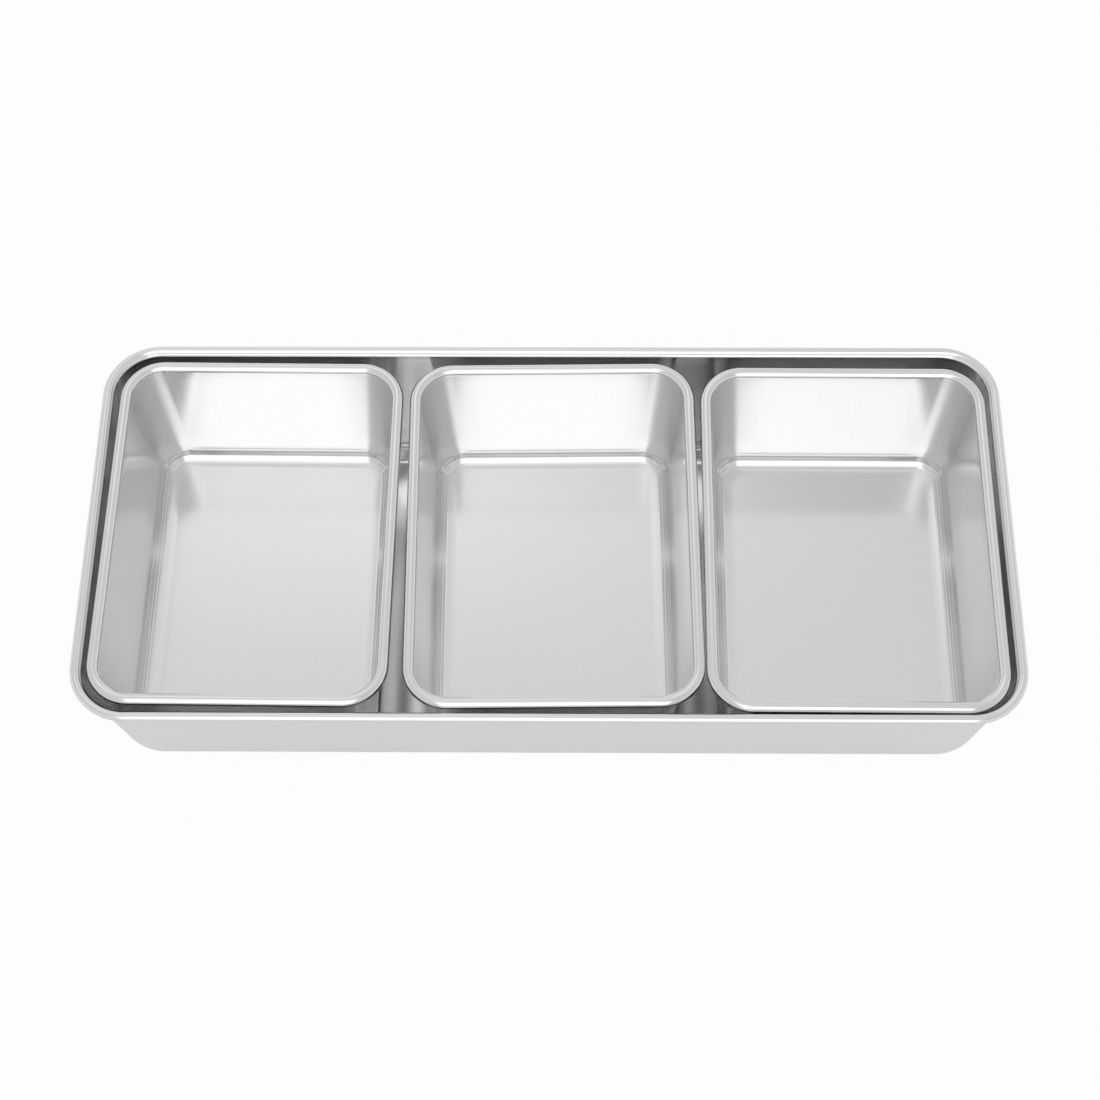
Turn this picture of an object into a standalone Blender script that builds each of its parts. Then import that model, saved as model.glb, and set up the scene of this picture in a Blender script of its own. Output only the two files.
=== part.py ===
# Condiment tray with three loose inner pans, drawn from stainless sheet.
# Metres, +Z up. The origin is the centre of the tray's underside,
# +X runs along the tray and +Y to its back.

import math

import bpy


# The outer tray, measured over its rolled rim
TRAY_LENGTH = 0.3000
TRAY_DEPTH = 0.1376
TRAY_HEIGHT = 0.0505
TRAY_SHEET = 0.0006
TRAY_CORNER = 0.0186           # corner radius at the rim's outer edge
TRAY_FOOT_CORNER = 0.0168      # corner radius at the foot of the wall
TRAY_FLOOR_CORNER = 0.0120     # corner radius of the flat floor
TRAY_END_LEDGE = 0.0091        # from the rim's outer edge in to the end of an end wall's fillet
TRAY_SIDE_LEDGE = 0.0121       # the same for the front and back walls
TRAY_FILLET = 0.0026           # inside radius between wall and floor

# The outer tray's rim: a roll, a fine crease on its inner side, and a short flare down to the wall
TRAY_ROLL = 0.0030             # diameter of the roll
TRAY_CREASE = 0.0003           # radius in the crease
TRAY_FLARE = 0.0008            # length of the flare
TRAY_BEND = 0.0009             # radius of the bend into the wall
CREASE_TURN = math.radians(22.0)   # how far up the roll's inner side the crease lies
FLARE_LEAN = math.radians(35.0)

# The inner pans, all alike
PAN_SHEET = 0.0006
PAN_BEAD = 0.0039              # diameter of the rolled rim
PAN_CORNER_EASE = 0.0008       # the pan's corner is this much tighter than the tray's inside corner
PAN_FOOT_CORNER = 0.0094
PAN_FLOOR_CORNER = 0.0075
PAN_END_LEDGE = 0.0104
PAN_SIDE_LEDGE = 0.0117
PAN_END_FILLET = 0.0040
PAN_SIDE_FILLET = 0.0050
PAN_SIDE_TILT = math.radians(20.0)   # slope at which that fillet meets the ledge, in a fine line
PAN_LEDGE = 0.0003             # flat between the fillet and the step

# The shallow step that stiffens every floor
STEP_HEIGHT = 0.0003
STEP_EDGE_RADIUS = 0.0008
STEP_END_FOOT_RADIUS = 0.0186  # the step runs out softly towards the ends
STEP_SIDE_FOOT_RADIUS = 0.0074

# How the pans sit in the tray
PLAY_LENGTH = 0.0073           # free length that the three pans leave in the tray
PLAY_DEPTH = 0.0046            # free depth that each pan leaves
REST_CLEARANCE = 0.0003        # between a pan's underside and the tray's floor
RIM_DROP = 0.0002              # the pans' rims stand this much below the tray's

# Shares of the free length: before the first pan, and between it and the next
GAP_SHARES = (0.234, 0.434, 0.141)

# For each pan: its shift as a share of half the free depth, and how far its ends
# swing aside as a share of the free length
PAN_SHARES = {
    "inner_pan_left": (-0.148, -0.0705),
    "inner_pan_middle": (-0.309, 0.1026),
    "inner_pan_right": (-0.848, -0.0334),
}

# Facets of a quarter turn in plan, and of each stretch of the section
CORNER_STEPS = 7
CURL_STEPS = 12
BEND_STEPS = 2
CREASE_STEPS = 2
FILLET_STEPS = 5
EDGE_STEPS = 2
FOOT_STEPS = 3
CURL_TURN = math.radians(290.0)
SHARP_ANGLE = math.radians(30.0)


def clear_scene():
    for item in list(bpy.data.objects):
        bpy.data.objects.remove(item, do_unlink=True)


def make_collection(name):
    group = bpy.data.collections.new(name)
    bpy.context.scene.collection.children.link(group)
    return group


def make_steel(name, colour, roughness):
    material = bpy.data.materials.new(name)
    material.use_nodes = True
    shader = material.node_tree.nodes["Principled BSDF"]
    shader.inputs["Base Color"].default_value = (*colour, 1.0)
    shader.inputs["Metallic"].default_value = 1.0
    shader.inputs["Roughness"].default_value = roughness
    return material


def tray_steel():
    return make_steel("tray_steel", (0.76, 0.76, 0.75), 0.26)


def pan_steel():
    return make_steel("pan_steel", (0.80, 0.80, 0.79), 0.22)


def away(point, distance, angle):
    """The (inset, height) at a distance; angle zero points inwards and a quarter turn points up."""
    return (point[0] + distance * math.cos(angle), point[1] + distance * math.sin(angle))


def arc(centre, radius, start, end, steps):
    points = []
    for index in range(steps + 1):
        points.append(away(centre, radius, start + (end - start) * index / steps))
    return points


def step_turn(foot_radius):
    """How steep the step gets between its rounded edge and its rounded foot."""
    return math.acos(1.0 - STEP_HEIGHT / (STEP_EDGE_RADIUS + foot_radius))


def step_length(foot_radius):
    return (STEP_EDGE_RADIUS + foot_radius) * math.sin(step_turn(foot_radius))


def fillet_centre(piece, wall):
    """Centre of the fillet that comes down on the ledge's outer end at its tilt."""
    ledge = (wall["ledge"], piece["sheet"] + STEP_HEIGHT)
    return away(ledge, wall["fillet"], math.pi / 2 - wall["tilt"])


def wall_lean(piece, wall):
    """Lean of a straight wall that touches the fillet below it and the round at its top."""
    low = fillet_centre(piece, wall)
    reach = low[0] - piece["top"][0]
    rise = piece["top"][1] - low[1]
    both = wall["fillet"] + piece["top_radius"]
    return math.acos(both / math.hypot(reach, rise)) - math.atan2(rise, reach)


def wall_foot(piece, wall):
    """How far in the straight wall ends and the fillet starts."""
    return fillet_centre(piece, wall)[0] - wall["fillet"] * math.cos(wall_lean(piece, wall))


def tray_rim():
    """Centres of the roll, the crease and the bend in the tray's rim."""
    roll = (TRAY_ROLL / 2, TRAY_HEIGHT - TRAY_ROLL / 2)
    crease = away(roll, TRAY_ROLL / 2 + TRAY_CREASE, CREASE_TURN)
    flare_top = away(crease, TRAY_CREASE, FLARE_LEAN + math.pi)
    flare_foot = away(flare_top, TRAY_FLARE, FLARE_LEAN - math.pi / 2)
    bend = away(flare_foot, TRAY_BEND, FLARE_LEAN + math.pi)
    return roll, crease, bend


def tray_rim_width():
    return tray_rim()[2][0] + TRAY_BEND


def tray_curl(piece, lean):
    """The tray's rim from the wall's top: bend, flare and crease, then the roll out and round."""
    roll, crease, bend = tray_rim()
    points = arc(bend, TRAY_BEND, lean, FLARE_LEAN, BEND_STEPS)
    points += arc(crease, TRAY_CREASE, FLARE_LEAN + math.pi, CREASE_TURN + math.pi, CREASE_STEPS)
    points += arc(roll, TRAY_ROLL / 2, CREASE_TURN, lean + CURL_TURN, CURL_STEPS)[1:]
    return points


def pan_curl(piece, lean):
    """A pan's rim: a plain bead that the wall runs straight into."""
    return arc(piece["top"], piece["top_radius"], lean, lean + CURL_TURN, CURL_STEPS)


def section(piece, wall):
    """The inside face as (inset, height), from the flat floor's edge up the wall and round the curl."""
    floor = piece["sheet"]
    ledge = floor + STEP_HEIGHT
    turn = step_turn(wall["step_foot"])
    lean = wall_lean(piece, wall)

    foot_centre = (wall["floor"], floor + wall["step_foot"])
    points = arc(foot_centre, wall["step_foot"], -math.pi / 2, -math.pi / 2 - turn, FOOT_STEPS)

    edge_centre = (wall["edge"], ledge - STEP_EDGE_RADIUS)
    points += arc(edge_centre, STEP_EDGE_RADIUS, math.pi / 2 - turn, math.pi / 2, EDGE_STEPS)[1:]

    tilted = -math.pi / 2 - wall["tilt"]
    points += arc(fillet_centre(piece, wall), wall["fillet"], tilted, -math.pi + lean, FILLET_STEPS)

    return points + piece["curl"](piece, lean)


def corner_radius(piece, wall, inset):
    """Corner radius at an inset, blended between rim, wall foot, step edge and flat floor."""
    foot = wall_foot(piece, wall)
    stations = [
        (0.0, piece["corner"]),
        (piece["rim"], piece["corner"] - piece["rim"]),
        (foot, piece["foot_corner"]),
        (wall["edge"], piece["foot_corner"] - (wall["edge"] - foot)),
        (wall["floor"], piece["floor_corner"]),
    ]
    for (near, near_radius), (far, far_radius) in zip(stations, stations[1:]):
        if inset < far:
            return near_radius + (far_radius - near_radius) * (inset - near) / (far - near)
    return piece["floor_corner"]


def ring(piece, end, side):
    """A rounded rectangle, counterclockwise from above, through one point of each section."""
    radius_x = corner_radius(piece, piece["ends"], end[0])
    radius_y = corner_radius(piece, piece["sides"], side[0])
    reach_x = piece["length"] / 2 - end[0] - radius_x
    reach_y = piece["depth"] / 2 - side[0] - radius_y
    points = []
    for quarter, (side_x, side_y) in enumerate([(1, 1), (-1, 1), (-1, -1), (1, -1)]):
        for index in range(CORNER_STEPS + 1):
            angle = (quarter + index / CORNER_STEPS) * math.pi / 2
            x = side_x * reach_x + radius_x * math.cos(angle)
            y = side_y * reach_y + radius_y * math.sin(angle)
            z = end[1] * math.cos(angle) ** 2 + side[1] * math.sin(angle) ** 2
            points.append((x, y, z))
    return points


def drawn_mesh(name, piece, material):
    """The inside face of a drawn pan: rings lofted from the floor's edge to the end of the curl."""
    points = []
    rows = 0
    for end, side in zip(section(piece, piece["ends"]), section(piece, piece["sides"])):
        points += ring(piece, end, side)
        rows += 1
    count = len(points) // rows
    faces = [list(range(count))]
    for low in range(0, len(points) - count, count):
        high = low + count
        for index in range(count):
            after = (index + 1) % count
            faces.append([low + index, high + index, high + after, low + after])
    mesh = bpy.data.meshes.new(name)
    mesh.from_pydata(points, [], faces)
    mesh.update()
    mesh.shade_smooth()
    mesh.set_sharp_from_angle(angle=SHARP_ANGLE)
    mesh.materials.append(material)
    return mesh


def place_drawn(name, mesh, sheet, group):
    """One piece: the inside face, thickened outwards to the sheet's gauge."""
    piece = bpy.data.objects.new(name, mesh)
    group.objects.link(piece)
    shell = piece.modifiers.new("Sheet", "SOLIDIFY")
    shell.thickness = sheet
    shell.offset = -1.0
    shell.use_even_offset = True
    shell.use_quality_normals = True
    return piece


def pan_wall(ledge, fillet, tilt, step_foot):
    """A wall of the pan, with its step right inside its fillet and ledge."""
    edge = ledge + PAN_LEDGE
    return {
        "ledge": ledge,
        "fillet": fillet,
        "tilt": tilt,
        "step_foot": step_foot,
        "edge": edge,
        "floor": edge + step_length(step_foot),
    }


def pan_sizes():
    """The inner pan: what three of them and their play leave of the tray's inside."""
    height = TRAY_HEIGHT - RIM_DROP - TRAY_SHEET - REST_CLEARANCE
    return {
        "length": (TRAY_LENGTH - 2 * tray_rim_width() - PLAY_LENGTH) / 3,
        "depth": TRAY_DEPTH - 2 * tray_rim_width() - PLAY_DEPTH,
        "sheet": PAN_SHEET,
        "top": (PAN_BEAD / 2, height - PAN_BEAD / 2),
        "top_radius": PAN_BEAD / 2,
        "rim": PAN_BEAD,
        "curl": pan_curl,
        "corner": TRAY_CORNER - tray_rim_width() - PAN_CORNER_EASE,
        "foot_corner": PAN_FOOT_CORNER,
        "floor_corner": PAN_FLOOR_CORNER,
        "ends": pan_wall(PAN_END_LEDGE, PAN_END_FILLET, 0.0, STEP_END_FOOT_RADIUS),
        "sides": pan_wall(PAN_SIDE_LEDGE, PAN_SIDE_FILLET, PAN_SIDE_TILT, STEP_SIDE_FOOT_RADIUS),
    }


def tray_wall(ledge, beside):
    """A wall of the tray, with its step right under that of a pan pushed against the rim."""
    return {
        "ledge": ledge,
        "fillet": TRAY_FILLET,
        "tilt": 0.0,
        "step_foot": beside["step_foot"],
        "edge": tray_rim_width() + beside["edge"],
        "floor": tray_rim_width() + beside["floor"],
    }


def tray_sizes(pan):
    return {
        "length": TRAY_LENGTH,
        "depth": TRAY_DEPTH,
        "sheet": TRAY_SHEET,
        "top": tray_rim()[2],
        "top_radius": TRAY_BEND,
        "rim": tray_rim_width(),
        "curl": tray_curl,
        "corner": TRAY_CORNER,
        "foot_corner": TRAY_FOOT_CORNER,
        "floor_corner": TRAY_FLOOR_CORNER,
        "ends": tray_wall(TRAY_END_LEDGE, pan["ends"]),
        "sides": tray_wall(TRAY_SIDE_LEDGE, pan["sides"]),
    }


def pan_centres(pan):
    """Where the pans' centres lie along the tray."""
    centres = []
    edge = tray_rim_width() - TRAY_LENGTH / 2
    for share in GAP_SHARES:
        edge += share * PLAY_LENGTH
        centres.append(edge + pan["length"] / 2)
        edge += pan["length"]
    return centres


def build_tray(group, pan):
    mesh = drawn_mesh("outer_tray", tray_sizes(pan), tray_steel())
    place_drawn("outer_tray", mesh, TRAY_SHEET, group)


def build_pans(group, pan):
    """Three objects that share one mesh, each shifted and turned a little, as loose pans stand."""
    mesh = drawn_mesh("inner_pan", pan, pan_steel())
    base = TRAY_SHEET + REST_CLEARANCE
    for centre, (name, shares) in zip(pan_centres(pan), PAN_SHARES.items()):
        shift_share, swing_share = shares
        shift = shift_share * PLAY_DEPTH / 2
        swing = swing_share * PLAY_LENGTH
        piece = place_drawn(name, mesh, PAN_SHEET, group)
        piece.location = (centre, shift, base)
        piece.rotation_euler = (0.0, 0.0, math.asin(swing / (pan["depth"] / 2)))


def main():
    clear_scene()
    group = make_collection("condiment_holder")
    pan = pan_sizes()
    build_tray(group, pan)
    build_pans(group, pan)


main()
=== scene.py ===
# Condiment tray with three loose inner pans: satin stainless sheet in a white studio.
# Metres, +Z up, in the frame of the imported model.

import math

import bpy
import numpy as np
from mathutils import Matrix, Vector


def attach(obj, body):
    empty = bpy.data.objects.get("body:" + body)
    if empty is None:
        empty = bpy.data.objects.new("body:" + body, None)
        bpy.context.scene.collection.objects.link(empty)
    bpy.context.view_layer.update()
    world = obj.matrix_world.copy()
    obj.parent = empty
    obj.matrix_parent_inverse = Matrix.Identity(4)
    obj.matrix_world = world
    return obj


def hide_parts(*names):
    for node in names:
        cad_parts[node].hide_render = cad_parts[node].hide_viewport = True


print("stage: packed frame")
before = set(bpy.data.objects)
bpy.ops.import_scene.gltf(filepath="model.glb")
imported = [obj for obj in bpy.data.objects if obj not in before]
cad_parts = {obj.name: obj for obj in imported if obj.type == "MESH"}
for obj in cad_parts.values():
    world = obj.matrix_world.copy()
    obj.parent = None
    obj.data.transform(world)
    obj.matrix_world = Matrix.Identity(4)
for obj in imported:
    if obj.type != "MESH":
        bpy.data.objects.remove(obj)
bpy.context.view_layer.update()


# Camera

print("stage: camera")
photoCamera = {
    "pitch": 62.36,          # degrees that it looks down
    "yaw": -1.344,           # turned a little to the left
    "roll": -1.026,          # about its own axis
    "distance": 0.6905,      # from the middle of the tray's rim
    "rimHeight": 0.0488,
    "lens": 69.72,
    "sensor": 36.0,
    "offCentre": (-0.00044, -0.01076),   # where the rim's middle is seen, as shares of the distance
}


def makeCamera(look):
    # Forward from pitch and yaw, right and up turned about it by the roll; it stands back from the
    # rim's middle, moved by the shares that the middle is seen off centre
    pitch, yaw, roll = (math.radians(look[name]) for name in ("pitch", "yaw", "roll"))
    forward = Vector((math.sin(yaw) * math.cos(pitch), math.cos(yaw) * math.cos(pitch), -math.sin(pitch)))
    level = Vector((math.cos(yaw), -math.sin(yaw), 0.0))
    upright = level.cross(forward)
    right = math.cos(roll) * level + math.sin(roll) * upright
    up = math.cos(roll) * upright - math.sin(roll) * level
    across, above = look["offCentre"]
    rimMiddle = Vector((0.0, 0.0, look["rimHeight"]))
    place = rimMiddle - look["distance"] * (forward + across * right - above * up)
    data = bpy.data.cameras.new("photoCamera")
    data.sensor_width = look["sensor"]
    data.lens = look["lens"]
    camera = bpy.data.objects.new("photoCamera", data)
    bpy.context.scene.collection.objects.link(camera)
    turn = Matrix((right, up, -forward)).transposed().to_4x4()
    camera.matrix_world = Matrix.Translation(place) @ turn
    bpy.context.scene.camera = camera


makeCamera(photoCamera)


# Drawn sheet pieces

# The shallow step round each floor
step = {
    "height": 0.0003,
    "edgeRadius": 0.0008,
}

# In the walls: inset of the ledge's outer end, radius of the fillet above it and the tilt at which
# it comes down there, inset of the step's edge, and radius of the step's foot
traySheet = {
    "length": 0.3000,
    "depth": 0.1376,
    "height": 0.0505,
    "gauge": 0.0006,
    "roll": 0.0015,                      # radius, as are neck and bend
    "neckTurn": math.radians(22.0),      # the roll ends here, in a fine crease
    "neck": 0.0003,
    "flareTurn": math.radians(35.0),     # lean of the short flare under the crease
    "flare": 0.0008,
    "bend": 0.0009,
    "corner": 0.0186,                    # radius of the outline, then at the wall's foot and the floor
    "footCorner": 0.0168,
    "floorCorner": 0.0120,
    "end": {"ledge": 0.0091, "fillet": 0.0026, "tilt": 0.0, "edge": 0.01424, "stepFoot": 0.0186},
    "side": {"ledge": 0.0121, "fillet": 0.0026, "tilt": 0.0, "edge": 0.01554, "stepFoot": 0.0074},
}

# Two fine rings that the drawing tool left in the pans' end fillets: slopes where they lie, how far
# they stand out, and over what turn they fade
drawRings = {
    "first": math.radians(41.0),
    "second": math.radians(53.0),
    "height": 0.00007,
    "fade": math.radians(5.0),
}

# Finer rings in the pans' foot corners: waves across the fillet, and how far they stand out
footRings = {
    "waves": 3.0,
    "height": 0.00011,
}

panSheet = {
    "length": 0.0952,
    "depth": 0.1259,
    "height": 0.0494,
    "gauge": 0.0006,
    "roll": 0.00195,
    "corner": 0.01426,
    "footCorner": 0.0094,
    "floorCorner": 0.0075,
    "footRings": footRings,
    "end": {"ledge": 0.0104, "fillet": 0.0060, "tilt": math.radians(30.0),
            "edge": 0.0107, "stepFoot": 0.0186, "rings": drawRings},
    "side": {"ledge": 0.0117, "fillet": 0.0050, "tilt": math.radians(20.0),
             "edge": 0.0120, "stepFoot": 0.0074},
}

# Where each pan stands: centre along the tray, shift in depth, turn
panPlaces = {
    "pan_left": (-0.09715, -0.00034, -0.00818),
    "pan_middle": (0.00123, -0.00071, 0.01190),
    "pan_right": (0.09746, -0.00195, -0.00387),
}
panBase = 0.0009

# Grid steps along each part of the section, and round the corners and along both walls
gridSteps = {
    "corner": 20,
    "end": 24,
    "side": 24,
    "floor": 22,
    "foot": 10,
    "edge": 5,
    "ledge": 3,
    "fillet": 44,
    "wall": 10,
    "bend": 6,
    "flare": 3,
    "neck": 4,
    "curl": 34,
}
curlTurn = math.radians(290.0)
# Corners of the walls: a rougher finish, and a darker grey painted there as shade
cornerRoughnessAndShades = {
    "reach": (0.027, 0.036),   # the corners' rougher finish and painted shade fade out this far along each wall
    "above": 0.004,            # it begins at this height over the floor
    "rise": 0.010,             # and is full this much higher
}


def arcPoints(centre, radius, start, end, steps):
    # Points (inset, height) on an arc: angle 0 points inwards, a quarter turn points up
    angle = np.linspace(start, end, steps + 1)
    return np.stack([centre[0] + radius * np.cos(angle), centre[1] + radius * np.sin(angle)], axis=1)


def straightPoints(first, last, steps):
    # The points between two ends, without the ends
    share = np.linspace(0.0, 1.0, steps + 1)[1:-1, None]
    return np.asarray(first) * (1.0 - share) + np.asarray(last) * share


def normalAt(angle):
    # Unit vector (inset, height) at an angle
    return np.array([math.cos(angle), math.sin(angle)])


def rollCentre(sheet):
    # One radius in from the outline and one radius under the top
    return np.array([sheet["roll"], sheet["height"] - sheet["roll"]])


def neckCentre(sheet):
    # The crease's hollow touches the roll where the roll ends
    return rollCentre(sheet) + (sheet["roll"] + sheet["neck"]) * normalAt(sheet["neckTurn"])


def wallTop(sheet):
    # Centre and radius of the bend that the wall runs up to: the roll itself where there is no flare
    if "flare" not in sheet:
        return rollCentre(sheet), sheet["roll"]
    down = normalAt(sheet["flareTurn"] - math.pi / 2)
    below = neckCentre(sheet) - sheet["neck"] * normalAt(sheet["flareTurn"]) + sheet["flare"] * down
    return below - sheet["bend"] * normalAt(sheet["flareTurn"]), sheet["bend"]


def rimPoints(sheet, lean):
    # From the wall's top: bend, flare, crease, and the roll out and round to its hidden end
    if "flare" not in sheet:
        return arcPoints(rollCentre(sheet), sheet["roll"], lean, lean + curlTurn, gridSteps["curl"])
    centre, radius = wallTop(sheet)
    bend = arcPoints(centre, radius, lean, sheet["flareTurn"], gridSteps["bend"])
    neck = arcPoints(neckCentre(sheet), sheet["neck"], sheet["flareTurn"] + math.pi,
                     sheet["neckTurn"] + math.pi, gridSteps["neck"])
    flare = straightPoints(bend[-1], neck[0], gridSteps["flare"])
    roll = arcPoints(rollCentre(sheet), sheet["roll"], sheet["neckTurn"], lean + curlTurn, gridSteps["curl"])
    return np.concatenate([bend, flare, neck, roll[1:]])


def filletCentre(sheet, wall):
    # The fillet comes down on the ledge's outer end at its tilt
    ledge = np.array([wall["ledge"], sheet["gauge"] + step["height"]])
    return ledge + wall["fillet"] * normalAt(math.pi / 2 - wall["tilt"])


def wallLean(sheet, wall):
    # Lean of a straight wall that touches the fillet below it and the round at its top
    top, radius = wallTop(sheet)
    reach, drop = filletCentre(sheet, wall) - top
    return math.acos((wall["fillet"] + radius) / math.hypot(reach, drop)) - math.atan2(-drop, reach)


def stepTurn(wall):
    # Turn over which the step's edge and its foot together drop by its height
    return math.acos(1.0 - step["height"] / (step["edgeRadius"] + wall["stepFoot"]))


def floorInset(wall):
    # Where the step's foot has run out into the flat floor
    return wall["edge"] + (step["edgeRadius"] + wall["stepFoot"]) * math.sin(stepTurn(wall))


def filletPoints(sheet, wall, lean):
    # The fillet's arc, its radius varied by a sine that runs once from ring to ring
    start, end = wall["tilt"], math.pi / 2 - lean
    slope = np.linspace(start, end, gridSteps["fillet"] + 1)
    radius = np.full(slope.size, wall["fillet"])
    rings = wall.get("rings")
    if rings:
        apart = rings["second"] - rings["first"]
        inside = np.minimum(slope - rings["first"] + apart / 2, rings["second"] + apart / 2 - slope)
        share = np.clip(inside / rings["fade"], 0.0, 1.0)
        wave = np.sin(2.0 * np.pi * (slope - rings["first"]) / apart)
        radius += rings["height"] * wave * share ** 2 * (3.0 - 2.0 * share)
    outward = np.stack([-np.sin(slope), -np.cos(slope)], axis=1)
    return filletCentre(sheet, wall) + radius[:, None] * outward


def wallSection(sheet, wall):
    # Inside face from the flat floor's edge: soft step, ledge, fillet, leaning wall, curl
    floor = sheet["gauge"]
    ledge = floor + step["height"]
    turn = stepTurn(wall)
    lean = wallLean(sheet, wall)
    down = -math.pi / 2
    soft = arcPoints((floorInset(wall), floor + wall["stepFoot"]), wall["stepFoot"],
                     down, down - turn, gridSteps["foot"])
    crest = arcPoints((wall["edge"], ledge - step["edgeRadius"]), step["edgeRadius"],
                      -down - turn, -down, gridSteps["edge"])[1:]
    hollow = filletPoints(sheet, wall, lean)
    rim = rimPoints(sheet, lean)
    flat = straightPoints(crest[-1], hollow[0], gridSteps["ledge"])
    face = straightPoints(hollow[-1], rim[0], gridSteps["wall"])
    return np.concatenate([soft, crest, flat, hollow, face, rim])


def cornerRadii(sheet, wall, inset):
    # Corner radius at each inset, blended between rim, wall foot, step edge and flat floor
    centre, radius = wallTop(sheet)
    rim = centre[0] + radius
    foot = filletCentre(sheet, wall)[0] - wall["fillet"] * math.cos(wallLean(sheet, wall))
    stations = [0.0, rim, foot, wall["edge"], floorInset(wall)]
    radii = [
        sheet["corner"],
        sheet["corner"] - rim,
        sheet["footCorner"],
        sheet["footCorner"] - (wall["edge"] - foot),
        sheet["floorCorner"],
    ]
    return np.interp(inset, stations, radii)


def roundColumns():
    # Once round a rounded rectangle: signs of the corner's centre, and cosine and sine of the turn
    quarter = np.linspace(0.0, np.pi / 2, gridSteps["corner"] + 1)
    signs = [(1, 1), (-1, 1), (-1, -1), (1, -1)]
    signX, signY, angle = [], [], []
    for index, (sx, sy) in enumerate(signs):
        nextX, nextY = signs[(index + 1) % 4]
        share = np.linspace(0.0, 1.0, gridSteps["side" if index % 2 == 0 else "end"] + 1)[1:-1]
        signX += [np.full(quarter.size, sx), sx + (nextX - sx) * share]
        signY += [np.full(quarter.size, sy), sy + (nextY - sy) * share]
        angle += [quarter + index * np.pi / 2, np.full(share.size, (index + 1) * np.pi / 2)]
    angle = np.concatenate(angle)
    return np.concatenate(signX), np.concatenate(signY), np.cos(angle), np.sin(angle)


def cornerWaves(sheet, section):
    # Shifts (inset, height) of each row of the section: a sine across the fillet, along its normal,
    # faded at both ends
    shifts = np.zeros(section.shape)
    rings = sheet.get("footRings")
    if rings:
        first = gridSteps["foot"] + gridSteps["edge"] + gridSteps["ledge"]
        rows = slice(first, first + gridSteps["fillet"] + 1)
        share = np.linspace(0.0, 1.0, gridSteps["fillet"] + 1)
        wave = rings["height"] * np.sin(2.0 * np.pi * rings["waves"] * share) * np.sin(np.pi * share)
        outward = (section[rows] - filletCentre(sheet, sheet["end"])) / sheet["end"]["fillet"]
        shifts[rows] = wave[:, None] * outward
    return shifts


def sheetGrid(sheet):
    # Rings of a rounded rectangle, one for each row of the section. The ends and the long sides
    # have their own section, and the corner runs from one to the other by the squared cosine and
    # sine of its turn. The finer waves are full half way round the corner and nil at both walls.
    ends = wallSection(sheet, sheet["end"])
    sides = wallSection(sheet, sheet["side"])
    radiusX = cornerRadii(sheet, sheet["end"], ends[:, 0])[:, None]
    radiusY = cornerRadii(sheet, sheet["side"], sides[:, 0])[:, None]
    signX, signY, cosine, sine = roundColumns()
    reachX = sheet["length"] / 2 - ends[:, :1] - radiusX
    reachY = sheet["depth"] / 2 - sides[:, :1] - radiusY
    x = signX * reachX + radiusX * cosine
    y = signY * reachY + radiusY * sine
    z = ends[:, 1:] * cosine ** 2 + sides[:, 1:] * sine ** 2
    waves = cornerWaves(sheet, ends)
    inCorner = (2.0 * cosine * sine) ** 2
    x -= waves[:, :1] * cosine * inCorner
    y -= waves[:, :1] * sine * inCorner
    z += waves[:, 1:] * inCorner
    return np.stack([x, y, z], axis=2)


def floorGrid(rim):
    # The flat floor: the innermost ring drawn in towards the middle
    share = np.linspace(0.0, 1.0, gridSteps["floor"] + 1)[1:-1, None, None]
    rings = rim[None] * share
    rings[:, :, 2] = rim[0, 2]
    return rings


def gridFaces(rows, columns):
    # Quads between neighbouring rings, closed round, facing the inside of the pan
    low = np.arange(rows - 1)[:, None] * columns + np.arange(columns)
    after = np.arange(rows - 1)[:, None] * columns + (np.arange(columns) + 1) % columns
    return np.stack([low, low + columns, after + columns, after], axis=2).reshape(-1, 4)


def cornerRoughnessAndShade(sheet, rings):
    # Share of the corners' rougher finish and painted shade: product of smooth rises along both walls and up
    # from the floor
    half = np.array([sheet["length"] / 2, sheet["depth"] / 2])
    near = (np.abs(rings[:, :, :2]) - half) / np.array(cornerRoughnessAndShades["reach"]) + 1.0
    up = (rings[:, :, 2:] - rings[0, 0, 2] - cornerRoughnessAndShades["above"]) / cornerRoughnessAndShades["rise"]
    share = np.clip(np.concatenate([near, up], axis=2), 0.0, 1.0)
    return np.prod(share ** 2 * (3.0 - 2.0 * share), axis=2).ravel()


def sheetSurface(sheet):
    # Rings from the middle of the floor to the curl's end, closed by a fan: points, faces, each
    # point's place on the rim, and its share of the corners' rougher finish and painted shade
    walls = sheetGrid(sheet)
    floor = floorGrid(walls[0])
    rings = np.concatenate([floor, walls])
    rows, columns = rings.shape[:2]
    middle = np.array([[0.0, 0.0, walls[0, 0, 2]]])
    points = np.concatenate([rings.reshape(-1, 3), middle])
    quads = gridFaces(rows, columns)
    spokes = np.arange(columns)
    fan = np.stack([np.full(columns, rows * columns), spokes, (spokes + 1) % columns], axis=1)
    rimPlace = np.concatenate([np.tile(walls[-1], (rows, 1, 1)).reshape(-1, 3), middle])
    cornerShare = np.append(cornerRoughnessAndShade(sheet, rings), 0.0)
    return points, fan.tolist() + quads.tolist(), rimPlace, cornerShare


def movePoints(points, place, base):
    # Turned about +Z, then moved to the place and up to the base
    along, shift, turn = place
    cosine, sine = math.cos(turn), math.sin(turn)
    spin = np.array([[cosine, -sine, 0.0], [sine, cosine, 0.0], [0.0, 0.0, 1.0]])
    return points @ spin.T + np.array([along, shift, base])


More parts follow.
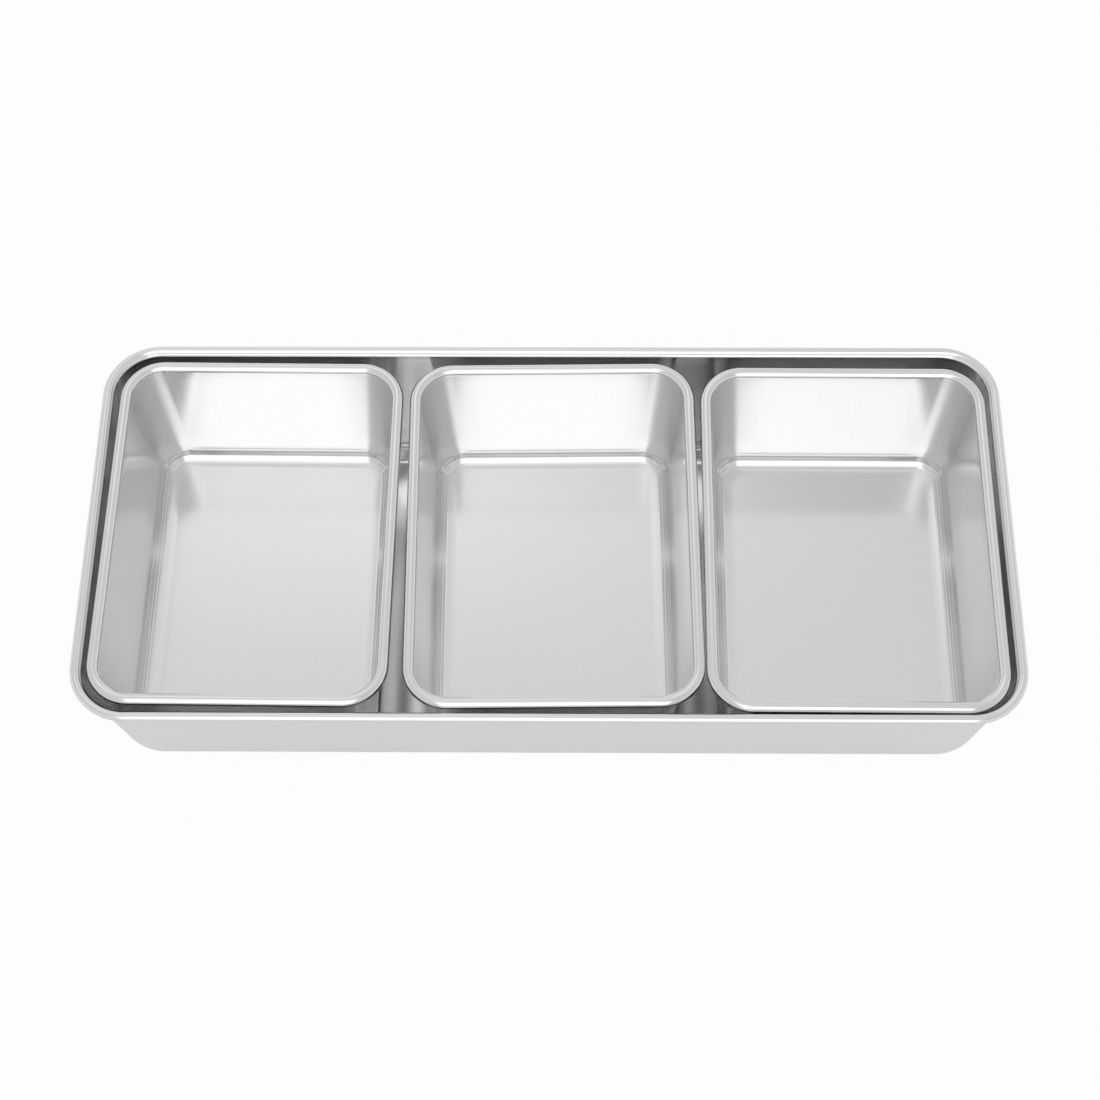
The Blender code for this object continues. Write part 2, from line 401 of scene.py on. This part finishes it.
def makeDrawnSheet(name, sheet, place, base, inside, outside):
    # The inside face as a mesh with both steels; a modifier gives the gauge outwards
    points, faces, rimPlace, cornerShare = sheetSurface(sheet)
    mesh = bpy.data.meshes.new(name)
    mesh.from_pydata(movePoints(points, place, base).tolist(), [], faces)
    mesh.update()
    mesh.shade_smooth()
    carried = mesh.attributes.new("rimPlace", "FLOAT_VECTOR", "POINT")
    carried.data.foreach_set("vector", rimPlace.astype(np.float32).ravel())
    corner = mesh.attributes.new("cornerShare", "FLOAT", "POINT")
    corner.data.foreach_set("value", cornerShare.astype(np.float32))
    mesh.materials.append(inside)
    mesh.materials.append(outside)
    piece = bpy.data.objects.new(name, mesh)
    bpy.context.scene.collection.objects.link(piece)
    shell = piece.modifiers.new("gauge", "SOLIDIFY")
    shell.thickness = sheet["gauge"]
    shell.offset = -1.0
    shell.material_offset = 1
    shell.material_offset_rim = 1
    shell.use_even_offset = True
    shell.use_quality_normals = True
    return piece


# Materials

print("stage: materials")
traySteel = {
    "rim": 0.84,                  # grey of the rim
    "rimRoughness": 0.14,
    "rimFrom": 0.0470,            # height at which the polish of the rim begins and is full
    "rimFull": 0.0476,
    "floorTop": 0.0030,           # the streaks begin at this height
    "streaks": 620.0,             # drawing streaks and grain, each a count for one metre
    "grain": 900.0,
    "relief": 0.10,
}

panSteel = {
    "rim": 0.83,
    "rimRoughness": 0.11,
    "rimFrom": 0.0478,
    "rimFull": 0.0486,
    "floorTop": 0.0035,
    "streaks": 480.0,
    "grain": 900.0,
    "relief": 0.08,
}

# Greys between which the sheet varies, the darker grey painted in the corners as shade, and roughness of
# both
# The tray's inside and the pans' outside face each other across the narrow gap and are paler than the same
# steel elsewhere: painted light in the gap
steelLooks = {
    "trayInside": {**traySteel, "pale": 0.96, "deep": 0.91, "corner": 0.90,
                   "wallRoughness": 0.15, "cornerRoughness": 0.30},
    "trayOutside": {**traySteel, "pale": 0.92, "deep": 0.87, "corner": 0.85,
                    "wallRoughness": 0.20, "cornerRoughness": 0.32},
    "panInside": {**panSteel, "pale": 0.865, "deep": 0.815, "corner": 0.77,
                  "wallRoughness": 0.14, "cornerRoughness": 0.46},
    "panOutside": {**panSteel, "pale": 0.96, "deep": 0.91, "corner": 0.90,
                   "wallRoughness": 0.15, "cornerRoughness": 0.30},
}

finish = {
    "streakDetail": 3.0,
    "streakContrast": 0.65,
    "streakFull": 3.0,                 # streaks are full at this many times the floor's height
    "grainStretch": (1.0, 0.12, 0.5),
    "grainDetail": 4.0,
    "grainContrast": 0.7,
    "cloudCount": 34.0,
    "cloudDetail": 2.0,
    "evenRoughness": 0.78,             # share of the roughness that stays, and what streaks and
    "unevenRoughness": 0.22,           # clouds add to it
    "grainShare": 0.4,                 # the rest of the colour and relief is streaks
    "reliefDepth": 0.00003,
}


def addNode(nodes, kind, operation=None):
    # A node, with its operation where it has one
    node = nodes.new(kind)
    if operation:
        node.operation = operation
    return node


def addSmoothRange(nodes):
    # Smooth rise from nil to full between two values
    node = nodes.new("ShaderNodeMapRange")
    node.interpolation_type = "SMOOTHSTEP"
    return node


def startGroup(name, inputs, outputs):
    # A node group with its named sockets: gives the group and its two end nodes
    group = bpy.data.node_groups.new(name, "ShaderNodeTree")
    for socketName, kind, value in inputs:
        socket = group.interface.new_socket(name=socketName, in_out="INPUT", socket_type=kind)
        if value is not None:
            socket.default_value = value
    for socketName in outputs:
        group.interface.new_socket(name=socketName, in_out="OUTPUT", socket_type="NodeSocketFloat")
    return group, group.nodes.new("NodeGroupInput"), group.nodes.new("NodeGroupOutput")


def makeStreakGroup():
    # Streaks that run up the drawn walls: noise of the place on the rim above, so it changes only
    # round the wall, faded out over the foot where the floor begins
    inputs = [("Rim Place", "NodeSocketVector", None), ("Position", "NodeSocketVector", None),
              ("Count", "NodeSocketFloat", 500.0), ("Floor Top", "NodeSocketFloat", 0.003)]
    group, given, out = startGroup("drawingStreaks", inputs, ["Streaks"])
    nodes, links = group.nodes, group.links
    fine = nodes.new("ShaderNodeTexNoise")
    fine.inputs["Detail"].default_value = finish["streakDetail"]
    fine.inputs["Roughness"].default_value = finish["streakContrast"]
    parts = nodes.new("ShaderNodeSeparateXYZ")
    full = addNode(nodes, "ShaderNodeMath", "MULTIPLY")
    full.inputs[1].default_value = finish["streakFull"]
    wall = addSmoothRange(nodes)
    level = addNode(nodes, "ShaderNodeMath", "SUBTRACT")          # about nil, so that it fades to even
    level.inputs[1].default_value = 0.5
    faded = addNode(nodes, "ShaderNodeMath", "MULTIPLY_ADD")
    faded.inputs[2].default_value = 0.5
    links.new(given.outputs["Rim Place"], fine.inputs["Vector"])
    links.new(given.outputs["Count"], fine.inputs["Scale"])
    links.new(given.outputs["Position"], parts.inputs["Vector"])
    links.new(given.outputs["Floor Top"], full.inputs[0])
    links.new(parts.outputs["Z"], wall.inputs["Value"])
    links.new(given.outputs["Floor Top"], wall.inputs["From Min"])
    links.new(full.outputs[0], wall.inputs["From Max"])
    links.new(fine.outputs["Fac"], level.inputs[0])
    links.new(level.outputs[0], faded.inputs[0])
    links.new(wall.outputs["Result"], faded.inputs[1])
    links.new(faded.outputs[0], out.inputs["Streaks"])
    return group


def makeGrainGroup():
    # Satin grain of the rolled sheet, drawn out along the depth, and broad soft clouds of wear
    inputs = [("Position", "NodeSocketVector", None), ("Count", "NodeSocketFloat", 900.0)]
    group, given, out = startGroup("satinGrain", inputs, ["Grain", "Clouds"])
    nodes, links = group.nodes, group.links
    stretch = nodes.new("ShaderNodeMapping")
    stretch.inputs["Scale"].default_value = finish["grainStretch"]
    grain = nodes.new("ShaderNodeTexNoise")
    grain.inputs["Detail"].default_value = finish["grainDetail"]
    grain.inputs["Roughness"].default_value = finish["grainContrast"]
    clouds = nodes.new("ShaderNodeTexNoise")
    clouds.inputs["Scale"].default_value = finish["cloudCount"]
    clouds.inputs["Detail"].default_value = finish["cloudDetail"]
    links.new(given.outputs["Position"], stretch.inputs["Vector"])
    links.new(stretch.outputs["Vector"], grain.inputs["Vector"])
    links.new(given.outputs["Count"], grain.inputs["Scale"])
    links.new(given.outputs["Position"], clouds.inputs["Vector"])
    links.new(grain.outputs["Fac"], out.inputs["Grain"])
    links.new(clouds.outputs["Fac"], out.inputs["Clouds"])
    return group


def makePolishGroup():
    # Roughness: that of the wall, higher in the drawn corners, both made uneven by streaks and
    # clouds, and lower on the polished rim; the mask rises with the height from wall to rim
    inputs = [("Position", "NodeSocketVector", None), ("Corner", "NodeSocketFloat", 0.0),
              ("Streaks", "NodeSocketFloat", 0.5), ("Clouds", "NodeSocketFloat", 0.5),
              ("Wall", "NodeSocketFloat", 0.2), ("Drawn Corner", "NodeSocketFloat", 0.3),
              ("Rim", "NodeSocketFloat", 0.12), ("Rim From", "NodeSocketFloat", 0.045),
              ("Rim Full", "NodeSocketFloat", 0.047)]
    group, given, out = startGroup("polish", inputs, ["Roughness", "Rim Mask"])
    nodes, links = group.nodes, group.links
    parts = nodes.new("ShaderNodeSeparateXYZ")
    rim = addSmoothRange(nodes)
    face = nodes.new("ShaderNodeMix")
    whole = nodes.new("ShaderNodeMix")
    uneven = addNode(nodes, "ShaderNodeMath", "ADD")
    spread = addNode(nodes, "ShaderNodeMath", "MULTIPLY_ADD")
    spread.inputs[1].default_value = finish["unevenRoughness"]
    spread.inputs[2].default_value = finish["evenRoughness"]
    worn = addNode(nodes, "ShaderNodeMath", "MULTIPLY")
    links.new(given.outputs["Position"], parts.inputs["Vector"])
    links.new(parts.outputs["Z"], rim.inputs["Value"])
    links.new(given.outputs["Rim From"], rim.inputs["From Min"])
    links.new(given.outputs["Rim Full"], rim.inputs["From Max"])
    links.new(given.outputs["Corner"], face.inputs["Factor"])
    links.new(given.outputs["Wall"], face.inputs["A"])
    links.new(given.outputs["Drawn Corner"], face.inputs["B"])
    links.new(given.outputs["Streaks"], uneven.inputs[0])
    links.new(given.outputs["Clouds"], uneven.inputs[1])
    links.new(uneven.outputs[0], spread.inputs[0])
    links.new(face.outputs["Result"], worn.inputs[0])
    links.new(spread.outputs[0], worn.inputs[1])
    links.new(rim.outputs["Result"], whole.inputs["Factor"])
    links.new(worn.outputs[0], whole.inputs["A"])
    links.new(given.outputs["Rim"], whole.inputs["B"])
    links.new(whole.outputs["Result"], out.inputs["Roughness"])
    links.new(rim.outputs["Result"], out.inputs["Rim Mask"])
    return group


streakGroup = makeStreakGroup()
grainGroup = makeGrainGroup()
polishGroup = makePolishGroup()


def placeGroup(nodes, group, values):
    # A node of the group, with its own values
    node = nodes.new("ShaderNodeGroup")
    node.node_tree = group
    for name, value in values.items():
        node.inputs[name].default_value = value
    return node


def mixGreys(nodes, first, second):
    # Colour that goes from the first grey to the second with its factor
    node = nodes.new("ShaderNodeMix")
    node.data_type = "RGBA"
    node.inputs["A"].default_value = (first, first, first, 1.0)
    node.inputs["B"].default_value = (second, second, second, 1.0)
    return node


def makeSteel(name, look):
    # Colour between deep and pale by streaks and grain, roughness by place, relief from both
    material = bpy.data.materials.new(name)
    material.use_nodes = True
    nodes, links = material.node_tree.nodes, material.node_tree.links
    shader = nodes["Principled BSDF"]
    shader.inputs["Metallic"].default_value = 1.0
    place = nodes.new("ShaderNodeTexCoord")
    rimPlace = nodes.new("ShaderNodeAttribute")
    rimPlace.attribute_name = "rimPlace"
    corner = nodes.new("ShaderNodeAttribute")
    corner.attribute_name = "cornerShare"
    streaks = placeGroup(nodes, streakGroup, {"Count": look["streaks"], "Floor Top": look["floorTop"]})
    grain = placeGroup(nodes, grainGroup, {"Count": look["grain"]})
    polish = placeGroup(nodes, polishGroup, {
        "Wall": look["wallRoughness"],
        "Drawn Corner": look["cornerRoughness"],
        "Rim": look["rimRoughness"],
        "Rim From": look["rimFrom"],
        "Rim Full": look["rimFull"],
    })
    both = nodes.new("ShaderNodeMix")
    both.inputs["Factor"].default_value = finish["grainShare"]
    sheetColour = mixGreys(nodes, look["deep"], look["pale"])
    # The corners turn to a darker grey: painted shade
    cornerShadeColour = mixGreys(nodes, look["deep"], look["corner"])
    rimColour = mixGreys(nodes, look["deep"], look["rim"])
    relief = nodes.new("ShaderNodeBump")
    relief.inputs["Strength"].default_value = look["relief"]
    relief.inputs["Distance"].default_value = finish["reliefDepth"]
    links.new(place.outputs["Object"], streaks.inputs["Position"])
    links.new(rimPlace.outputs["Vector"], streaks.inputs["Rim Place"])
    links.new(place.outputs["Object"], grain.inputs["Position"])
    links.new(place.outputs["Object"], polish.inputs["Position"])
    links.new(corner.outputs["Fac"], polish.inputs["Corner"])
    links.new(streaks.outputs["Streaks"], polish.inputs["Streaks"])
    links.new(grain.outputs["Clouds"], polish.inputs["Clouds"])
    links.new(streaks.outputs["Streaks"], both.inputs["A"])
    links.new(grain.outputs["Grain"], both.inputs["B"])
    links.new(both.outputs["Result"], sheetColour.inputs["Factor"])
    links.new(both.outputs["Result"], relief.inputs["Height"])
    links.new(corner.outputs["Fac"], cornerShadeColour.inputs["Factor"])
    links.new(sheetColour.outputs["Result"], cornerShadeColour.inputs["A"])
    links.new(polish.outputs["Rim Mask"], rimColour.inputs["Factor"])
    links.new(cornerShadeColour.outputs["Result"], rimColour.inputs["A"])
    links.new(rimColour.outputs["Result"], shader.inputs["Base Color"])
    links.new(polish.outputs["Roughness"], shader.inputs["Roughness"])
    links.new(relief.outputs["Normal"], shader.inputs["Normal"])
    return material


steels = {name: makeSteel(name, look) for name, look in steelLooks.items()}


# Tray and pans

print("stage: tray")
tray = makeDrawnSheet("tray_shell", traySheet, (0.0, 0.0, 0.0), 0.0,
                      steels["trayInside"], steels["trayOutside"])
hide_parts("outer_tray")
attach(tray, "tray")

print("stage: pans")
for body, place in panPlaces.items():
    pan = makeDrawnSheet(body + "_shell", panSheet, place, panBase,
                         steels["panInside"], steels["panOutside"])
    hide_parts("inner_" + body)
    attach(pan, body)


# Studio

print("stage: studio")
studio = {
    "floorSize": 8.0,
    "floorGrey": 0.86,
    "floorRoughness": 0.9,
    "seenWhite": 0.95,          # share of the floor that is plain white to the camera
    "mirroredWhite": 0.22,      # the same for what is seen in the metal
    "bounces": 48,              # enough for light to reach down the narrow gap and back
}

# Brightness of the surroundings by height, from the horizon up to overhead
skyHeights = [(0.0, 1.00), (0.26, 0.80), (0.5, 0.62), (0.8, 0.70), (1.0, 0.74)]

# Round soft glows: azimuth from the back clockwise, elevation, angle of the even middle, angle
# where it ends, brightness that it adds, or takes away where it is a dark screen
skyGlows = {
    "frontLeft": (192.0, 52.0, 4.0, 24.0, 0.14),
    "overhead": (203.0, 76.0, 3.0, 13.5, 0.34),
    "rightScreen": (137.0, 62.0, 8.0, 24.0, -0.07),
    "back": (0.0, 55.0, 3.0, 13.0, 0.10),
    "backLeft": (345.0, 51.0, 2.0, 15.5, 0.26),
}

# Broad soft panels: azimuth, elevation, half width and half height as tangents, width of the soft
# edge, brightness
skyPanels = {
    "front": (179.0, 38.0, 0.305, 0.50, 0.075, 0.63),
}


def makeFloor(look):
    # Square sheet: a share of it is plain white to the camera, a smaller one to the metal, and the
    # rest is matt and takes the light and the shadow
    half = look["floorSize"] / 2
    mesh = bpy.data.meshes.new("studio_floor")
    corners = [(-half, -half, 0.0), (half, -half, 0.0), (half, half, 0.0), (-half, half, 0.0)]
    mesh.from_pydata(corners, [], [(0, 1, 2, 3)])
    material = bpy.data.materials.new("paleFloor")
    material.use_nodes = True
    nodes, links = material.node_tree.nodes, material.node_tree.links
    shader = nodes["Principled BSDF"]
    grey = look["floorGrey"]
    shader.inputs["Base Color"].default_value = (grey, grey, grey, 1.0)
    shader.inputs["Roughness"].default_value = look["floorRoughness"]
    shader.inputs["Specular IOR Level"].default_value = 0.0
    glow = nodes.new("ShaderNodeEmission")
    rays = nodes.new("ShaderNodeLightPath")
    mirrored = addNode(nodes, "ShaderNodeMath", "MAXIMUM")
    mirroredShare = addNode(nodes, "ShaderNodeMath", "MULTIPLY")
    mirroredShare.inputs[1].default_value = look["mirroredWhite"]
    share = addNode(nodes, "ShaderNodeMath", "MULTIPLY_ADD")
    share.inputs[1].default_value = look["seenWhite"]
    mix = nodes.new("ShaderNodeMixShader")
    links.new(rays.outputs["Is Glossy Ray"], mirrored.inputs[0])
    links.new(rays.outputs["Is Transmission Ray"], mirrored.inputs[1])
    links.new(mirrored.outputs[0], mirroredShare.inputs[0])
    links.new(rays.outputs["Is Camera Ray"], share.inputs[0])
    links.new(mirroredShare.outputs[0], share.inputs[2])
    links.new(share.outputs[0], mix.inputs["Fac"])
    links.new(shader.outputs["BSDF"], mix.inputs[1])
    links.new(glow.outputs["Emission"], mix.inputs[2])
    links.new(mix.outputs["Shader"], nodes["Material Output"].inputs["Surface"])
    mesh.materials.append(material)
    floor = bpy.data.objects.new("studio_floor", mesh)
    bpy.context.scene.collection.objects.link(floor)


def skyDirection(azimuth, elevation):
    # Unit vector from azimuth, clockwise from the back, and height above the horizon in degrees
    azimuth, elevation = math.radians(azimuth), math.radians(elevation)
    return (math.sin(azimuth) * math.cos(elevation),
            math.cos(azimuth) * math.cos(elevation), math.sin(elevation))


def makeGlowGroup():
    # Brightness that falls off smoothly with the angle away from the glow's middle
    inputs = [("Direction", "NodeSocketVector", None), ("Towards", "NodeSocketVector", None),
              ("Middle", "NodeSocketFloat", 0.95), ("End", "NodeSocketFloat", 0.7),
              ("Brightness", "NodeSocketFloat", 0.5)]
    group, given, out = startGroup("softGlow", inputs, ["Light"])
    nodes, links = group.nodes, group.links
    away = addNode(nodes, "ShaderNodeVectorMath", "DOT_PRODUCT")
    fall = addSmoothRange(nodes)
    links.new(given.outputs["Direction"], away.inputs[0])
    links.new(given.outputs["Towards"], away.inputs[1])
    links.new(away.outputs["Value"], fall.inputs["Value"])
    links.new(given.outputs["End"], fall.inputs["From Min"])
    links.new(given.outputs["Middle"], fall.inputs["From Max"])
    links.new(given.outputs["Brightness"], fall.inputs["To Max"])
    links.new(fall.outputs["Result"], out.inputs["Light"])
    return group


def makePanelGroup():
    # Brightness inside a rectangle seen from the middle: the tangents across and up, each faded
    # over the soft edge, and nothing behind
    inputs = [("Direction", "NodeSocketVector", None), ("Towards", "NodeSocketVector", None),
              ("Across", "NodeSocketVector", None), ("Up", "NodeSocketVector", None),
              ("Half Width", "NodeSocketFloat", 0.3), ("Half Height", "NodeSocketFloat", 0.5),
              ("Edge", "NodeSocketFloat", 0.1), ("Brightness", "NodeSocketFloat", 0.5)]
    group, given, out = startGroup("softPanel", inputs, ["Light"])
    nodes, links = group.nodes, group.links
    facing = addNode(nodes, "ShaderNodeVectorMath", "DOT_PRODUCT")
    links.new(given.outputs["Direction"], facing.inputs[0])
    links.new(given.outputs["Towards"], facing.inputs[1])
    light = addNode(nodes, "ShaderNodeMath", "GREATER_THAN")
    light.inputs[1].default_value = 0.05          # a direction counts as behind under this cosine
    links.new(facing.outputs["Value"], light.inputs[0])
    for axis, reach in (("Across", "Half Width"), ("Up", "Half Height")):
        along = addNode(nodes, "ShaderNodeVectorMath", "DOT_PRODUCT")
        tangent = addNode(nodes, "ShaderNodeMath", "DIVIDE")
        size = addNode(nodes, "ShaderNodeMath", "ABSOLUTE")
        outer = addNode(nodes, "ShaderNodeMath", "ADD")
        inner = addNode(nodes, "ShaderNodeMath", "SUBTRACT")
        fade = addSmoothRange(nodes)
        both = addNode(nodes, "ShaderNodeMath", "MULTIPLY")
        links.new(given.outputs["Direction"], along.inputs[0])
        links.new(given.outputs[axis], along.inputs[1])
        links.new(along.outputs["Value"], tangent.inputs[0])
        links.new(facing.outputs["Value"], tangent.inputs[1])
        links.new(tangent.outputs[0], size.inputs[0])
        links.new(given.outputs[reach], outer.inputs[0])
        links.new(given.outputs["Edge"], outer.inputs[1])
        links.new(given.outputs[reach], inner.inputs[0])
        links.new(given.outputs["Edge"], inner.inputs[1])
        links.new(size.outputs[0], fade.inputs["Value"])
        links.new(outer.outputs[0], fade.inputs["From Min"])
        links.new(inner.outputs[0], fade.inputs["From Max"])
        links.new(light.outputs[0], both.inputs[0])
        links.new(fade.outputs["Result"], both.inputs[1])
        light = both
    bright = addNode(nodes, "ShaderNodeMath", "MULTIPLY")
    links.new(light.outputs[0], bright.inputs[0])
    links.new(given.outputs["Brightness"], bright.inputs[1])
    links.new(bright.outputs[0], out.inputs["Light"])
    return group


def makeWorld(heights, glows, panels):
    # Brightness by height above the horizon, plus each soft light
    world = bpy.data.worlds.new("studioWorld")
    bpy.context.scene.world = world
    world.use_nodes = True
    nodes, links = world.node_tree.nodes, world.node_tree.links
    background = nodes["Background"]
    background.inputs["Color"].default_value = (1.0, 1.0, 1.0, 1.0)
    place = nodes.new("ShaderNodeTexCoord")
    parts = nodes.new("ShaderNodeSeparateXYZ")
    ramp = nodes.new("ShaderNodeValToRGB")
    ramp.color_ramp.interpolation = "B_SPLINE"
    ramp.color_ramp.elements.remove(ramp.color_ramp.elements[1])
    for index, (height, brightness) in enumerate(heights):
        stop = ramp.color_ramp.elements[0] if index == 0 else ramp.color_ramp.elements.new(height)
        stop.position = height
        stop.color = (brightness, brightness, brightness, 1.0)
    links.new(place.outputs["Generated"], parts.inputs["Vector"])
    links.new(parts.outputs["Z"], ramp.inputs["Fac"])
    total = ramp.outputs["Color"]
    glowGroup = makeGlowGroup()
    panelGroup = makePanelGroup()
    lights = []
    for azimuth, elevation, middle, end, brightness in glows.values():
        lights.append(placeGroup(nodes, glowGroup, {
            "Towards": skyDirection(azimuth, elevation),
            "Middle": math.cos(math.radians(middle)),
            "End": math.cos(math.radians(end)),
            "Brightness": brightness,
        }))
    for azimuth, elevation, halfWidth, halfHeight, edge, brightness in panels.values():
        lights.append(placeGroup(nodes, panelGroup, {
            "Towards": skyDirection(azimuth, elevation),
            "Across": skyDirection(azimuth + 90.0, 0.0),
            "Up": skyDirection(azimuth, elevation + 90.0),
            "Half Width": halfWidth,
            "Half Height": halfHeight,
            "Edge": edge,
            "Brightness": brightness,
        }))
    for light in lights:
        add = addNode(nodes, "ShaderNodeMath", "ADD")
        links.new(place.outputs["Generated"], light.inputs["Direction"])
        links.new(total, add.inputs[0])
        links.new(light.outputs["Light"], add.inputs[1])
        total = add.outputs[0]
    links.new(total, background.inputs["Strength"])


makeFloor(studio)
makeWorld(skyHeights, skyGlows, skyPanels)

bpy.context.scene.view_settings.view_transform = "Standard"
bpy.context.scene.cycles.max_bounces = studio["bounces"]
bpy.context.scene.cycles.glossy_bounces = studio["bounces"]
